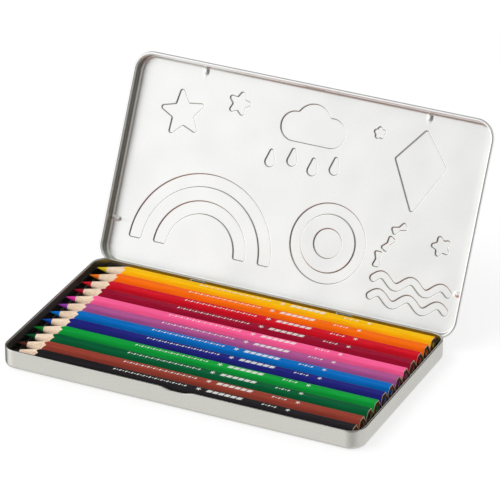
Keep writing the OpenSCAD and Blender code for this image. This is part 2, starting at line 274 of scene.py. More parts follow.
def block(name, lo, hi, ease):
    """Box from lo to hi in millimetres, its edges rounded by ease, as a cutter."""
    bm = bmesh.new()
    bmesh.ops.create_cube(bm, size=1)
    lo, hi = np.array(lo, float), np.array(hi, float)
    for v in bm.verts:
        v.co = Vector(((lo + hi) / 2 + np.array(v.co) * (hi - lo)) * MM)
    if ease:
        bmesh.ops.bevel(bm, geom=list(bm.edges), offset=ease * MM, segments=3, profile=0.5, affect="EDGES")
    mesh = bpy.data.meshes.new(name)
    bm.to_mesh(mesh)
    bm.free()
    cutter = bpy.data.objects.new(name, mesh)
    bpy.context.scene.collection.objects.link(cutter)
    return cutter


print("a drawn-out octagon has", len(drawn_out(arc((0, 0), 1, 0, 360, 8)[:-1], 0, 1)[1]), "faces")

# %% [markdown]
# ## Hinge tongues and their windows
# Two tongues are lanced out of the rear wall and rolled round the hinge wire, which leaves a window
# above each. The roll is a profile in the plane across the wire, drawn out along it, then joined to
# the wall, and a punch cuts its window. The tongues sit in the shade under the lid's hinge, so their
# points are marked with a number, and the finish paints shade on them there.

# %% Rolled tongues, joined and cut
tongue_x, tongue_w = 38.0, 8.0
window_half = tongue_w / 2 + 0.03
wall_y, plate_z = base_d / 2, axle[2] - roll_r
roll = np.vstack([
    [[wall_y - 0.2, plate_z], [wall_y + 0.6, plate_z]],
    arc(axle[1:], roll_r, -90, 214, 30), arc(axle[1:], roll_r - tin_t, 214, -90, 24),
    [[wall_y + 0.6, plate_z + tin_t], [wall_y - 0.2, plate_z + tin_t]]])
for x in (-tongue_x, tongue_x):
    tongue = drawn_out(roll, x - tongue_w / 2, x + tongue_w / 2)
    carve(base_tin, make_piece("tongue_roll", *tongue), "UNION")
    carve(base_tin, block("window_punch", (x - window_half, wall_y - 1, plate_z + tin_t + 0.02),
                          (x + window_half, wall_y + 0.53, base_h - 1.1), 0.35), "DIFFERENCE")
# Points behind the rear wall, on the rolled tongues, are marked for painted shade in the finish.
behind = read_points(base_tin)[:, 1] / MM - wall_y
mark_points(base_tin, "painted_shade", np.clip(behind / 0.1, 0, 1))
print("tongue points", int((behind > 0.1).sum()))
settle(base_tin, "base", "base_tinplate", "base_shell")

# %% [markdown]
# ## The lid's section
# The lid telescopes over the base. From its rim upwards the sheet is curled outwards round a 1 mm
# bore, rises as the skirt, steps in by 0.5 mm and bends into the flat top. The same bore carries the
# hinge wire along the rear. The lid is worked out shut and swung open at the end, because a closed
# lid is square to the axes, and its sizes can be read straight off the base.

# %% Lid profile
rim_z, lid_h = plate_z, 6.6
curl, curl_end = (1.4, roll_r), 484
skirt_z = np.array([1.5, 1.7, 2.0, 2.3, 2.6, 2.9, 3.2, 3.5, 3.8, 4.1, 4.4])
panel_out = -4.6
flat_top = np.array([-1.55, -1.8, -2.05, -2.3, -2.6, -2.9, -3.3, -3.8, panel_out])
crown = lid_h - 0.08 * ((flat_top - panel_out) / (-1.3 - panel_out)) ** 2
lid_up = np.vstack([
    arc(curl, roll_r - tin_t, curl_end, 180, 22), np.column_stack([0 * skirt_z + 0.9, skirt_z]),
    arc((0.6, 4.8), 0.3, 0, 90, 4), [[0.5, 5.1]], arc((-1.3, 4.82), 1.7, 10.5, 90, 18),
    np.column_stack([flat_top, crown])])
lid_down = np.vstack([
    np.column_stack([flat_top, crown - tin_t])[::-1],
    arc((-1.3, 4.82), 1.4, 90, 9.5, 16), arc((0.32, 5.02), 0.22, 180, 270, 4),
    [[0.4, 4.8], [0.54, 4.8], [0.6, 4.74]], np.column_stack([0 * skirt_z + 0.6, skirt_z])[::-1],
    arc(curl, roll_r, 180, curl_end, 30)])
front_stop_x, side_stop_y = 58.0, 30.0
stop_step = np.linspace(-2.1, 2.1, 31)
snap_step = np.linspace(-6.6, 6.6, 45)
notch = np.array([-4.6, 4.6])
lid_walk = walk_round([
    side_stop_y + stop_step, np.concatenate([tongue_x + notch, -tongue_x + notch]),
    -side_stop_y + stop_step,
    np.concatenate([front_stop_x + stop_step, -front_stop_x + stop_step, snap_step])])
print("lid section has", len(lid_up) + len(lid_down), "points and", len(lid_walk["point"]), "stations")

# %% [markdown]
# ## Dents that stop the lid, and the bead that snaps it
# Four short dents pressed into the crown's corner stop the lid on the base's hem, and a low bead in
# the front of the skirt holds it shut. A press mark moves both faces of the sheet by the same amount,
# so one displacement field serves the outside and the inside: it is largest on the line of the punch
# and fades as a cosine of the distance from that line.

# %% Press marks as fields on the lid's grid
def to_segment(u, v, w, p, q):
    """Distance of points (u, v, w) from the segment, whose nearest place is p + t * (q - p), t in 0..1."""
    pts, p, q = np.stack([u, v, w], -1), np.array(p, float), np.array(q, float)
    t = np.clip(((pts - p) @ (q - p)) / ((q - p) @ (q - p)), 0, 1)
    return np.linalg.norm(pts - p - t[..., None] * (q - p), axis=-1)


dent_depth, dent_push = 0.74, (-0.535, -0.845)       # the punch goes inwards and down
dent_lines = (((0, 0.22, 6.08), (0, -0.95, 6.82), 1.6), ((0, -0.95, 6.82), (0, -2.4, 6.6), 1.8))


def pressed(profile, walk):
    """Carries the lid profile round, then adds the stop dents and the snap bead in (outwards, height)."""
    profile = np.asarray(profile, float)
    out = np.broadcast_to(profile[:, 0], (len(walk["point"]), len(profile)))
    z = np.broadcast_to(profile[:, 1], out.shape)
    d_out, d_z = np.zeros(out.shape), np.zeros(out.shape)
    for wall, place in ((3, front_stop_x), (3, -front_stop_x), (0, side_stop_y), (2, -side_stop_y)):
        s = np.where(walk["wall"] == wall, walk["along"] - place, FAR)[:, None] + 0 * out
        marks = [hump(to_segment(s, out, z, p, q), wide) for p, q, wide in dent_lines]
        mark = dent_depth * np.max(marks, axis=0)
        d_out, d_z = d_out + dent_push[0] * mark, d_z + dent_push[1] * mark
    s = np.where(walk["wall"] == 3, walk["along"], FAR)[:, None] + 0 * out
    bead = 0.33 * hump(to_segment(s, out, z, (-4.6, 0.75, 2.6), (4.6, 0.75, 2.6)), 1.35)
    xy = walk["point"][:, None, :] + walk["normal"][:, None, :] * (out + d_out - bead)[..., None]
    return np.dstack([xy, z + d_z + rim_z])


lid_outside, lid_inside = pressed(lid_up, lid_walk), pressed(lid_down, lid_walk)
print("deepest dent", round(float(np.max(rim_z + lid_up[:, 1] - lid_outside[..., 2])), 3), "mm")

# %% [markdown]
# ## Outlines that a die can press
# The lid's top is embossed. A stamping die can't press a sharp inside corner, so every corner of an
# outline is an arc. Each outline is one closed loop of points, built from arcs and straight lines that
# touch each other smoothly.

# %% Motif outlines with die-friendly corners
def eased(corners, radius=1.0, steps=7):
    """Polygon with arcs for corners: each starts radius * tan(turn / 2) before its corner."""
    corners = np.asarray(corners, float)
    d1 = corners - np.roll(corners, 1, 0)
    d2 = np.roll(corners, -1, 0) - corners
    d1, d2 = (d / np.linalg.norm(d, axis=1)[:, None] for d in (d1, d2))
    turn = np.arctan2(d1[:, 0] * d2[:, 1] - d1[:, 1] * d2[:, 0], (d1 * d2).sum(1))
    a = np.abs(turn)[:, None] * np.linspace(0, 1, steps)[None]
    left = np.column_stack([-d1[:, 1], d1[:, 0]]) * np.sign(turn)[:, None]
    start = corners - d1 * (radius * np.tan(np.abs(turn) / 2))[:, None]
    return (start[:, None] + radius * (np.sin(a)[..., None] * d1[:, None]
            + (1 - np.cos(a))[..., None] * left[:, None])).reshape(-1, 2)


def rainbow(outer, inner):
    """Band between two half circles, its four feet corners rounded by 1 mm."""
    a, b = np.degrees(np.arcsin(1 / outer)), np.degrees(np.arcsin(1 / inner))
    return np.vstack([arc((outer - 1, 1), 1, -90, 0, 6), arc((0, 0), outer, a, 180 - a, 70)[1:-1],
                      arc((1 - outer, 1), 1, 180, 270, 6), arc((-inner - 1, 1), 1, -90, 0, 6),
                      arc((0, 0), inner, 180 - b, b, 44)[1:-1], arc((inner + 1, 1), 1, 180, 270, 6)])


def star(points, outer, inner):
    """Regular star: its radius is outer and inner by turns, first point upwards."""
    k = np.arange(2 * points)
    return eased((np.where(k % 2 == 0, outer, inner) * np.array(
        [np.cos(np.pi / 2 + np.pi * k / points), np.sin(np.pi / 2 + np.pi * k / points)])).T, 1.0)


def cloud(lobes, rho=1.3):
    """Three lobes over a flat foot. Each valley between lobes is an arc of radius rho that touches both."""
    loop = [[0.0, -lobes[0][2]], [lobes[-1][0], -lobes[-1][2]]]
    start, parts = -90.0, [np.array(loop)]
    for (x1, y1, r1), (x2, y2, r2) in zip(lobes[::-1][:-1], lobes[::-1][1:]):
        c1, c2 = np.array([x1, y1]), np.array([x2, y2])
        d = np.linalg.norm(c2 - c1)
        a = ((r1 + rho) ** 2 - (r2 + rho) ** 2 + d * d) / (2 * d)
        across = np.array([(c2 - c1)[1], -(c2 - c1)[0]]) / d
        valley = c1 + a * (c2 - c1) / d + np.sqrt((r1 + rho) ** 2 - a * a) * across
        t1 = np.degrees(np.arctan2(*(valley - c1)[::-1]))
        t2 = np.degrees(np.arctan2(*(valley - c2)[::-1]))
        parts += [arc(c1, r1, start, t1, 20)[1:], arc(valley, rho, t1 + 180, t2 + 180, 6)[1:-1]]
        start = t2
    parts.append(arc(lobes[0][:2], lobes[0][2], start, 270, 24)[:-1])
    return np.vstack(parts)


def placed(loop, x, y, turn=0.0):
    """Loop turned by turn degrees and moved to (x, y) on the top, as seen from inside the open lid."""
    c, s = np.cos(np.radians(turn)), np.sin(np.radians(turn))
    loop = loop @ np.array([[c, s], [-s, c]]) + [x, y]
    return (loop * [1, -1])[::-1]


def drop(big, small, apart):
    """A big and a small arc joined by their common tangents, whose lean is acos((big - small) / apart)."""
    lean = np.degrees(np.arccos((big - small) / apart))
    return np.vstack([arc((0, 0), big, 90 + lean, 450 - lean, 26),
                      arc((0, apart), small, 90 - lean, 90 + lean, 8)])


def ribbon(middle, half):
    """Band along a middle line: both sides are half away from it, with a half circle at each end."""
    d = np.gradient(middle, axis=0)
    n = np.column_stack([d[:, 1], -d[:, 0]]) / np.linalg.norm(d, axis=1)[:, None] * half
    first, last = (np.degrees(np.arctan2(*v[::-1])) for v in (n[0], n[-1]))
    return np.vstack([middle + n, arc(middle[-1], half, last, last + 180, 10)[1:-1], (middle - n)[::-1],
                      arc(middle[0], half, first + 180, first + 360, 10)[1:-1]])


def ring(radius, sides, start=0):
    """Circle: from start degrees once round, forwards for a raised edge and backwards for a sunk one."""
    return arc((0, 0), radius, start, 360 - start, sides)[:-1]


print("a five-pointed star has", len(star(5, 13, 5.6)), "points round it")

# %% [markdown]
# ## The embossed picture
# The motifs are plain: two rainbows, stars, a cloud with drops, a kite with bows, a ripple and two
# waves. Each is drawn once about its own middle and then placed, so that one outline serves wherever
# its shape comes again.

# %% Motifs in their places
kite = eased([[0, -20], [13, 4], [0, 20], [-13, 4]])
bow = eased([[-3.6, -2], [0, -0.7], [3.6, -2], [3.6, 2], [0, 0.7], [-3.6, 2]], 0.8)
sway = np.linspace(0, 1, 61)
wave = ribbon(np.column_stack([38 * sway - 19, 2.2 * np.sin(5 * np.pi * sway)]), 1.7)
motifs = [placed(rainbow(37, 31), -44, -37), placed(rainbow(24, 18), -44, -37),
          placed(star(5, 13, 5.6), -66, 26, 12), placed(star(5, 7.5, 3.2), -38, 36, -10),
          placed(cloud([(0, 0, 7), (9, 3, 9), (19, 0, 7)]), -8, 31), placed(kite, 58, 22)]
motifs += [placed(bow, 58 - 4 * k, 2 - 8 * k, 30 * k) for k in (1, 2, 3)]
motifs += [placed(drop(2.4, 0.8, 5.2), x, y) for x, y in ((-17, 12), (-6, 14.5), (5, 12), (16, 14.5))]
motifs += [placed(wave, 65, y) for y in (-31, -39.5)]
motifs += [placed(star(5, 6.5, 2.8), 76, -10, 20), placed(star(5, 4.6, 2.0), 35, 36, 5)]
motifs += [placed(loop, 20, -20) for loop in (ring(19, 96), ring(14, 72, 360), ring(7, 48))]
print(len(motifs), "outlines,", sum(map(len, motifs)), "points")

# %% [markdown]
# ## The embossed panel
# In section an embossed edge is an S: the sheet bends down on a small radius, slopes and bends back.
# The S is laid across every outline as a ladder of loops. Every outline has an outward direction at
# each point, and moving it along that direction gives the loops across the slope, with one guard loop
# on each side so that the flats shade dead flat. A constrained Delaunay fill then joins all loops and
# the panel's border with triangles, and the two faces of the sheet share that one net.

# %% The S-shaped step and the triangulated panel
bend_r, slope, rise, step_at = 0.34, np.radians(43), 0.4, 0.15
a = np.linspace(0, slope, 4)
upper = np.column_stack([bend_r * np.sin(a), -bend_r * (1 - np.cos(a))])
ramp = (rise - 2 * bend_r * (1 - np.cos(slope))) / np.tan(slope)
lower_turn = 2 * upper[-1] + [ramp, -ramp * np.tan(slope)] - upper[::-1]
section = np.vstack([upper, lower_turn])
tilt = np.concatenate([[0], a, a[::-1], [0]])
reach = np.concatenate([[-0.1], section[:, 0], [section[-1, 0] + 0.1]]) - section[-1, 0] / 2 + step_at
level = np.concatenate([[0], section[:, 1], [section[-1, 1]]]) + rise


def outward(loop):
    """Mitre direction at each point of a closed loop, so that a shift by g moves every side by g."""
    d = np.roll(loop, -1, 0) - loop
    n = np.column_stack([d[:, 1], -d[:, 0]]) / np.linalg.norm(d, axis=1)[:, None]
    before = np.roll(n, 1, 0)
    return (n + before) / (1 + (n * before).sum(1))[:, None]


border = lid_outside[:, -1, :2]
# One row for each loop: its points, their mitre direction, their height and the sheet's lean there.
loops = [(border, 0 * border, 0.0, 0.0)]
for loop in motifs:
    mitre = outward(loop)
    loops += [(loop + g * mitre, mitre, h, t) for g, h, t in zip(reach, level, tilt)]
flat_points, shift = (np.vstack([row[k] for row in loops]) for k in (0, 1))
height, lean = (np.concatenate([np.full(len(row[0]), row[k]) for row in loops]) for k in (2, 3))
flat_edges, first = [], 0
for row in loops:
    ids = first + np.arange(len(row[0]))
    flat_edges.append(np.column_stack([ids, np.roll(ids, -1)]))
    first += len(ids)
found, _, net, source, _, _ = delaunay_2d_cdt(
    [Vector(p) for p in flat_points.tolist()], np.vstack(flat_edges).tolist(), [], 0, 1e-7)
first_source = np.array([ids[0] if len(ids) else -1 for ids in source])
net = first_source[np.array([f for f in net if len(f) == 3])]
p, q, r = (flat_points[net[:, k]] for k in range(3))
area = (q - p)[:, 0] * (r - p)[:, 1] - (q - p)[:, 1] * (r - p)[:, 0]
net, area = net[np.abs(area) > 1e-9], area[np.abs(area) > 1e-9]
net[area < 0] = net[area < 0][:, ::-1]
print("panel net:", len(net), "triangles on", len(flat_points), "points, merged",
      len(flat_points) - len(found))

# %% [markdown]
# ## Joining the lid into one sheet
# Outside grid, inside grid and the two panel faces meet at shared border points, so the sheet is
# closed all round and its thickness is real everywhere. The rear curl is then notched for the
# tongues.

# %% Lid sheet and notches
def panel_face(side):
    """Panel points on one face: mid-sheet point + side * half thickness * the surface's upward normal."""
    half = side * tin_t / 2
    xy = flat_points + shift * (half * np.sin(lean))[:, None]
    return np.column_stack([xy, rim_z + lid_h - tin_t / 2 + height + half * np.cos(lean)])


rows, up_n, down_n = len(lid_walk["point"]), len(lid_up), len(lid_down)
section_grid = np.concatenate([lid_outside, lid_inside], axis=1)
cols = up_n + down_n
quads = grid_faces(rows, cols)
quads = quads[(quads[:, 0] % cols) != up_n - 1]
top_points, under_points = panel_face(1)[rows:], panel_face(-1)[rows:]
rim_ids, own_ids = np.arange(rows) * cols, rows * cols + np.arange(len(top_points))
top_ids = np.concatenate([rim_ids + up_n - 1, own_ids])
under_ids = np.concatenate([rim_ids + up_n, own_ids + len(top_points)])
all_points = np.vstack([section_grid.reshape(-1, 3), top_points, under_points])
lid_faces = quads.tolist() + top_ids[net].tolist() + under_ids[net][:, ::-1].tolist()
lid_tin = make_piece("lid_embossed_tin", all_points, lid_faces, sharp=38)
health(lid_tin)
notch_half = 4.3
for x in (-tongue_x, tongue_x):
    carve(lid_tin, block("notch_punch", (x - notch_half, wall_y + 0.1, rim_z - 1),
                         (x + notch_half, wall_y + 4, rim_z + 1.9), 0.3), "DIFFERENCE")
health(lid_tin)

# %% [markdown]
# ## Painted shade and lacquered tin, and the swing open
# Inside, the tin takes painted shade, a darker tone wherever the sheet leans away from level on the
# relief's slopes and the skirt, and outside a matt lacquer protects it. Each point stores how much
# painted shade and how matt it is, for the finish to read. Last, the lid is swung open by a
# rotation of its points about the hinge line.

# %% Marks on the lid, and its swing
def swing(piece, angle):
    """Turns every point about the hinge line: y and z are rotated round the axle by angle."""
    co = read_points(piece)
    y, z = co[:, 1] - axle[1] * MM, co[:, 2] - axle[2] * MM
    co[:, 1] = axle[1] * MM + y * np.cos(angle) - z * np.sin(angle)
    co[:, 2] = axle[2] * MM + y * np.sin(angle) + z * np.cos(angle)
    piece.data.vertices.foreach_set("co", co.ravel())
    piece.data.update()


co, facing = read_points(lid_tin) / MM, read_points(lid_tin, "normal")
inner_side = (facing[:, 2] < -0.05) | ((facing[:, 2] < 0.3) & ((facing[:, :2] * co[:, :2]).sum(1) < 0))
up = co[:, 2] - rim_z
in_panel = (np.abs(co[:, 0]) < base_w / 2 - 5) & (np.abs(co[:, 1]) < base_d / 2 - 5)
zone = np.where(in_panel, 1.0, np.interp(up, [1.3, 1.7, 4.7, 4.9, 6.0], [0, 1, 1, 0.6, 0.6]))
# Painted shade: inner faces that lean away from level, in the panel and the skirt, get a darker tone.
painted_shade = np.clip((1 - np.abs(facing[:, 2])) / 0.22, 0, 1) * inner_side * zone
inner_matt = np.interp(up, [1.2, 1.4, 4.85, 5.1, 6.1, 6.3], [0.4, 0, 0, 0.85, 0.7, 0])
outer_matt = np.clip((up - 1.5) / 0.3, 0, 1)
matt = np.where(inner_side, np.where(in_panel, 0.45 * painted_shade, inner_matt), outer_matt)
mark_points(lid_tin, "painted_shade", painted_shade)
mark_points(lid_tin, "matt", matt)
print("bent tin on", int((painted_shade > 0.5).sum()), "and matt tin on", int((matt > 0.3).sum()),
      "of", len(co), "points")
swing(lid_tin, -open_turn)
lid_tin.data.set_sharp_from_angle(angle=np.radians(38))
settle(lid_tin, "lid", "lid_tinplate", "lid_shell")

# %% [markdown]
# ## The hinge wire
# A straight length of drawn steel wire runs through the curl and both tongues. Its cut ends are
# slightly rounded by the shears. It is turned: a radius that changes along the axis, with each end
# closed by a small pole.

# %% Turned shapes
def turned(stations, sides=32):
    """Solid of revolution along x: stations are (x, radius) pairs, and both ends close in a point."""
    stations = np.asarray(stations, float)
    a = np.linspace(0, 2 * np.pi, sides, endpoint=False)
    body = stations[1:-1]
    grid = np.stack([np.broadcast_to(body[:, :1], (len(body), sides)),
                     body[:, 1:] * np.cos(a), body[:, 1:] * np.sin(a)], -1).reshape(-1, 3)
    points = np.vstack([grid, [[stations[0, 0], 0, 0], [stations[-1, 0], 0, 0]]])
    k = np.arange(sides)
    k2, n, last = (k + 1) % sides, len(grid), len(grid) - sides
    faces = grid_faces(len(body), sides, wrap_rows=False)[:, ::-1].tolist()
    faces += np.column_stack([np.full(sides, n), k2, k]).tolist()
    faces += np.column_stack([np.full(sides, n + 1), last + k, last + k2]).tolist()
    return points, faces


half = 50.0
end = arc((-half + 0.15, 0.3), 0.15, 180, 90, 4)
left = np.vstack([[[-half, 0.0]], end])
points, faces = turned(np.vstack([left, (left * [-1, 1])[::-1]]))
hinge_pin = make_piece("hinge_steel_wire", points + [0, axle[1], axle[2]], faces)
settle(hinge_pin, "base", "hinge_steel", "hinge_wire")

# %% [markdown]
# ## The moulded tray
# The tray is a black sheet of plastic, drawn over a mould: a deck of twelve grooves with a well under
# the points and a smaller one behind the cut ends. Every ridge and end is rounded, because hot sheet
# doesn't fill a sharp corner. The grooved deck is one grid: a rounded line across the grooves, drawn
# along the pencils and let down at both ends.

# %% Grooved deck
row_y, pitch, count = 0.2, 8.0474, 12
groove_z, ridge_z, foot, run = 2.65, 4.4, 2.2419, 1.0104
tip_x = -base_w / 2 + 1.98
deck_from, deck_to = tip_x + 15.5, base_w / 2 - 5.5
centres = row_y + (count / 2 - 0.5 - np.arange(count)) * pitch


def eased_line(corners, radius, steps):
    """Open line whose inner corners are arcs: eased as a closed loop, whose closure is then dropped."""
    far = np.array([[corners[-1][0], -50.0], [corners[0][0], -50.0]])
    loop = eased(np.vstack([corners, far]), radius, steps)
    return loop[steps:(len(corners) - 1) * steps]


edge_y = base_d / 2 - 0.7
offsets = np.array([foot + run, foot, -foot, -foot - run])
line = np.column_stack([(centres[:, None] + offsets).ravel(),
                        np.tile([ridge_z, groove_z, groove_z, ridge_z], count)])
line = np.vstack([[[edge_y + 3, ridge_z]], line, [[-edge_y - 3, ridge_z]]])
line = eased_line(line, 0.4, 5)
line = np.vstack([[[edge_y, ridge_z]], line, [[-edge_y, ridge_z]]])
end_r, deck_foot = 0.5, 0.55                 # rounding at both ends, and the deck's underside
a = np.radians(np.linspace(0, 90, 6))
x_rows = np.concatenate([[deck_from], deck_from + end_r * (1 - np.cos(a)), [deck_from + 0.9, deck_to - 0.9],
                         deck_to - end_r * (1 - np.cos(a[::-1])), [deck_to]])
fall = np.concatenate([[0], end_r * (1 - np.sin(a)), [0, 0], end_r * (1 - np.sin(a[::-1])), [0]])
deck_z = line[None, :, 1] - fall[:, None]
deck_z[[0, -1]] = deck_foot
past = np.maximum(x_rows - base_w / 2 + corner_r, 0)      # how far into the rounded corner a row lies
room = np.where(past > 0, base_d / 2 - corner_r + np.sqrt(6.8 ** 2 - past ** 2), edge_y)
deck_y = np.clip(line[None, :, 0], -room[:, None], room[:, None])
deck = np.dstack([np.broadcast_to(x_rows[:, None], deck_z.shape), deck_y, deck_z])
rows, cols = deck.shape[:2]
ids = np.arange(rows * cols).reshape(rows, cols)
deck_faces = grid_faces(rows, cols, False, False)[:, ::-1].tolist()
# The sides follow the pan's corners, so each is a strip of upright quads: one polygon wouldn't be flat.
lower = deck[2:-2][:, [0, -1]] * [1, 1, 0] + [0, 0, deck_foot]
low = np.vstack([ids[0, [0, -1]], rows * cols + np.arange(2 * (rows - 4)).reshape(-1, 2), ids[-1, [0, -1]]])
deck_faces += np.column_stack([ids[1:-2, 0], ids[2:-1, 0], low[1:, 0], low[:-1, 0]]).tolist()
deck_faces += np.column_stack([ids[2:-1, -1], ids[1:-2, -1], low[:-1, 1], low[1:, 1]]).tolist()
deck_faces.append(np.concatenate([ids[0, ::-1], low[1:-1, 0], ids[-1], low[-2:0:-1, 1]]).tolist())
tray_deck = make_piece("tray_deck", np.vstack([deck.reshape(-1, 3), lower.reshape(-1, 3)]), deck_faces)
health(tray_deck)

# %% [markdown]
# ## The tray's pan
# The pan round the deck has the same wall all round, so it is a carried profile like the base. Deck
# and pan are joined into one moulding, which leaves a single closed surface.

# %% Pan, joined with the deck
well_z, tray_top, lip_r = 0.35, 5.2, 0.12
pan_profile = np.vstack([
    [[-2.8, well_z], [-2.4, well_z]], arc((-2.15, 2), 1.65, -90, 0, 8), [[-0.5, 2.4], [-0.5, 4.8]],
    arc((-0.5 - lip_r, tray_top - lip_r), lip_r, 0, 90, 4),
    arc((-0.9 + lip_r, tray_top - lip_r), lip_r, 90, 180, 4),
    [[-0.9, 4.8], [-0.9, 2.4]], arc((-2.15, 2), 1.25, 0, -90, 8), [[-2.4, 0.75], [-2.8, 0.75]]])
pan = carried(pan_profile, walk_round([none] * 4))
tray = make_piece("tray_moulded", pan, capped(*pan.shape[:2]))
carve(tray, tray_deck, "UNION")
settle(tray, "base", "tray_plastic", "tray")

# %% [markdown]
# ## Pencil casings
# A casing is a hexagonal wooden rod with eased edges, sharpened to a cone. Where the cone meets six
# flats the paint ends in scallops, and it reaches furthest at the middle of each flat. The grid
# follows that line: each point has a direction round the axis and a place along it, and the column
# where cone turns into flat depends on the direction. The inside face is the bore for the lead, so
# the casing is one closed tube with no poles.

# %% Casing surface
pencil_len, pencil_af, edge_half, cone_len, point_r, lead_r = 175.0, 6.9, 3.8487, 16.0, 0.2, 1.45
bore_r = lead_r + 0.02
cone_slope = (edge_half - point_r) / cone_len
row_z = groove_z + 0.1 + pencil_af / 2


def hexagon_ring():
    """Directions and radii round an eased hexagon: arcs of radius ease about a smaller one's corners."""
    ease = (pencil_af / np.sqrt(3) - edge_half) / (2 / np.sqrt(3) - 1)
    core = pencil_af / 2 - ease
    turns = np.radians(np.arange(6) * 60.0)
    corner = (core * 2 / np.sqrt(3)) * np.column_stack([np.cos(turns), np.sin(turns)])
    a = np.radians(np.arange(6)[:, None] * 60.0 + np.linspace(-30, 30, 6))
    rounded = corner[:, None] + ease * np.stack([np.cos(a), np.sin(a)], -1)
    nxt = np.roll(rounded[:, :1], -1, 0)
    flats = rounded[:, -1:] + (nxt - rounded[:, -1:]) * np.array([0.06, 0.5, 0.94])[None, :, None]
    ring = np.concatenate([rounded, flats], axis=1).reshape(-1, 2)
    return np.arctan2(ring[:, 1], ring[:, 0]), np.linalg.norm(ring, axis=1)


ring_a, ring_r = hexagon_ring()
scallop = (ring_r - point_r) / cone_slope
mouth = (bore_r - point_r) / cone_slope
t = np.array([0.0, 0.3, 0.6, 0.85, 0.985])
cone_x = mouth + 0.15 + (scallop[:, None] - mouth - 0.15) * t
cone_r = point_r + cone_slope * cone_x
body_x = np.column_stack([scallop, scallop + 0.12] + [np.full_like(scallop, x) for x in (
    17.5, 60, 120, pencil_len - 0.4, pencil_len - 0.14, pencil_len - 0.04)])
body_r = ring_r[:, None] - np.array([0.012, 0, 0, 0, 0, 0, 0, 0.06])
sawn_r = np.column_stack([ring_r - 0.16, ring_r - 0.5, np.full_like(ring_r, bore_r + 0.03)])
# The last columns are the same all round: the sawn end, the bore from the end to the mouth, and the mouth.
alike = (len(ring_a), 1)
rest_x = np.tile([pencil_len] * 3 + [pencil_len - 0.05, mouth + 0.3, mouth + 0.06, mouth + 0.1], alike)
rest_r = np.tile([bore_r] * 3 + [point_r + cone_slope * (mouth + 0.1)], alike)
casing_x = np.concatenate([cone_x, body_x, rest_x], axis=1)
casing_r = np.concatenate([cone_r, body_r, sawn_r, rest_r], axis=1)
casing_grid = np.stack([tip_x + casing_x, casing_r * np.cos(ring_a)[:, None],
                        row_z + casing_r * np.sin(ring_a)[:, None]], -1)
casing_faces = grid_faces(*casing_x.shape)
column = casing_faces[:, 0] % casing_x.shape[1]
painted, sawn = (column >= len(t)) & (column < len(t) + 7), column == len(t) + 9
finish_of = np.select([painted, sawn], [0, 2], 1)          # lacquer, end grain, and pale wood elsewhere
print("scallops reach", np.round([scallop.min(), scallop.max()], 2), "mm behind the point;",
      len(casing_faces), "quads")

# %% [markdown]
# ## Finishes are node trees
# Each finish below is a small tree that ends in one Principled shader. A value that is the same all
# over sits on the shader itself, and only what really varies, such as grain or a print, arrives by a
# link. All patterns read Object coordinates in metres, or an attribute stored on the piece, so they
# stay with the piece when it moves.

# %% A short way to write node trees
def finish_tree(name):
    """New material with an empty tree, and its Principled shader wired to the output."""
    material = bpy.data.materials.new(name)
    material.use_nodes = True
    tree = material.node_tree
    tree.nodes.clear()
    shader = tree.nodes.new("ShaderNodeBsdfPrincipled")
    tree.links.new(shader.outputs[0], tree.nodes.new("ShaderNodeOutputMaterial").inputs[0])
    return material, tree, shader


def put(tree, kind, inputs=None, out=0, **settings):
    """Adds a node. inputs maps a socket's name or number to a value or to another node's output."""
    made = tree.nodes.new("ShaderNode" + kind)
    for key, value in settings.items():
        setattr(made, key, value)
    for key, value in (inputs or {}).items():
        if isinstance(value, bpy.types.NodeSocket):
            tree.links.new(value, made.inputs[key])
        else:
            made.inputs[key].default_value = value
    return made.outputs[out]


def feed(shader, colour=None, rough=None, normal=None, metal=None):
    """Links outputs to the shader's inputs. One that is left out keeps its own value."""
    wanted = {"Base Color": colour, "Roughness": rough, "Normal": normal, "Metallic": metal}
    for socket, source in wanted.items():
        if source is not None:
            shader.id_data.links.new(source, shader.inputs[socket])


def wear(piece, *finishes):
    """The piece takes these finishes in the order of its faces' numbers."""
    piece.data.materials.clear()
    for finish in finishes:
        piece.data.materials.append(finish)


def math(tree, operation, *values):
    """One Math node on values or sockets."""
    return put(tree, "Math", dict(enumerate(values)), operation=operation)


def weighed(tree, first, share, second):
    """first * share + second * (1 - share)."""
    return math(tree, "ADD", math(tree, "MULTIPLY", first, share),
                math(tree, "MULTIPLY", second, 1 - share))


def bumped(tree, height, strength, distance, **under):
    """Bump node: bends the shading by a height in metres. Normal=... lays it on another one."""
    return put(tree, "Bump", {"Height": height, "Strength": strength, "Distance": distance, **under})


def spread(tree, value, low, high, new_low=0.0, new_high=1.0):
    """Map Range: low..high becomes new_low..new_high, held at both ends."""
    return put(tree, "MapRange", {0: value, 1: low, 2: high, 3: new_low, 4: new_high})


def stretched_noise(tree, scale, detail=3.0, size=1.0, rough=0.5):
    """Noise on Object coordinates, with a separate scale along each axis."""
    place = put(tree, "TexCoord", out="Object")
    place = put(tree, "Mapping", {"Vector": place, "Scale": scale})
    return put(tree, "TexNoise", {"Vector": place, "Scale": size, "Detail": detail, "Roughness": rough})


def two_tones(tree, factor, first, second):
    """Mix by factor of two colours, either of which may be another node's output."""
    first, second = (c if isinstance(c, bpy.types.NodeSocket) else (*c, 1) for c in (first, second))
    return put(tree, "Mix", {0: factor, 6: first, 7: second}, out=2, data_type="RGBA")


def linear(red, green, blue):
    """A screen colour from 0 to 255 as the linear light that nodes use."""
    c = np.array([red, green, blue]) / 255
    return tuple(float(x) for x in np.where(c <= 0.04045, c / 12.92, ((c + 0.055) / 1.055) ** 2.4))


print("mid grey 188 is", round(linear(188, 188, 188)[0], 3), "in linear light")

# %% [markdown]
# ## Tinplate
# Tinplate is steel strip with a thin coat of tin. Rolling leaves a faint grain along the strip, and
# the matt tin gives a satin gloss with slightly cloudy patches. The metal is a pale warm grey. Grain
# is noise stretched along X, which drives both roughness and a very shallow bump.

